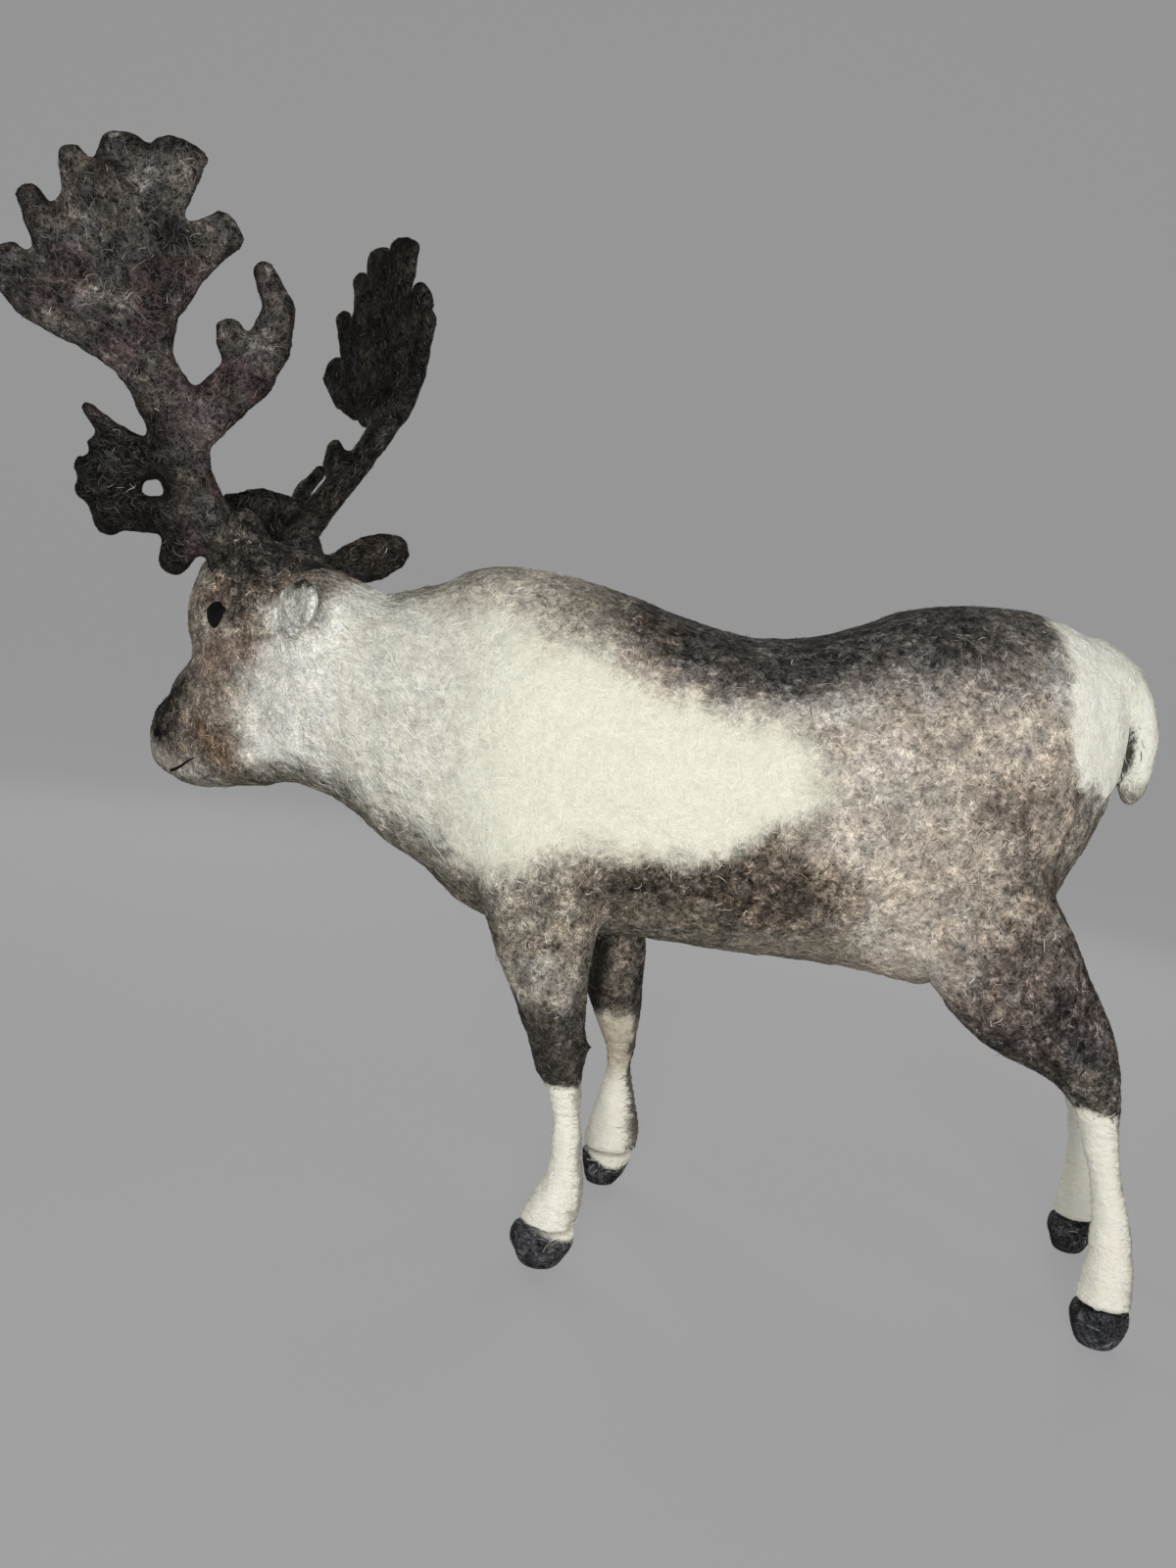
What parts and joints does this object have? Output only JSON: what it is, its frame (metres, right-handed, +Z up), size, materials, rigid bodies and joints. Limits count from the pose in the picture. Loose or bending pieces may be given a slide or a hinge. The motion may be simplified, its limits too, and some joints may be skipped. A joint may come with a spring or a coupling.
{
  "type": "needle-felted reindeer figure",
  "caption": "Standing felted wool reindeer figure with flat branching antlers, bead eyes and wrapped legs, its head turned to its right.",
  "frame": {"origin": "on the floor, under the middle of the figure's box", "axes": "+X from the muzzle to the rump, +Y from the figure's left flank to its right, +Z up from the soles"},
  "size_m": [0.2922, 0.0942, 0.2363],
  "materials": {
    "white": "matte needle-felted wool, ivory white with finely pocked skin",
    "heather": "matte needle-felted wool, blended grey and brown fibres",
    "cream": "matte wool wrapped in level turns, cream white",
    "charcoal": "matte needle-felted wool, charcoal grey",
    "black": "matte needle-felted wool, black",
    "antler": "matte needle-felted wool, dark brown-grey with paler fibres along the tines",
    "bead": "glossy black bead"
  },
  "bodies": {
    "root": {"torso": "white", "neck": "white", "tail": "white", "head": "heather", "mouth_line": "black", "ear_left": "charcoal", "ear_right": "charcoal", "eye_left": "bead", "eye_right": "bead", "nostril_left": "black", "nostril_right": "black", "antler_left_beam": "antler", "antler_left_palm": "antler", "antler_left_back": "antler", "antler_left_bez": "antler", "antler_left_brow": "antler", "antler_right_beam": "antler", "antler_right_palm": "antler", "antler_right_back": "antler", "antler_right_bez": "antler", "antler_right_brow": "antler", "leg_front_left_upper": "heather", "leg_front_left_cannon": "cream", "leg_front_left_hoof": "black", "leg_front_right_upper": "heather", "leg_front_right_cannon": "cream", "leg_front_right_hoof": "black", "leg_hind_left_upper": "heather", "leg_hind_left_cannon": "cream", "leg_hind_left_hoof": "black", "leg_hind_right_upper": "heather", "leg_hind_right_cannon": "cream", "leg_hind_right_hoof": "black"}
  },
  "joints": []
}
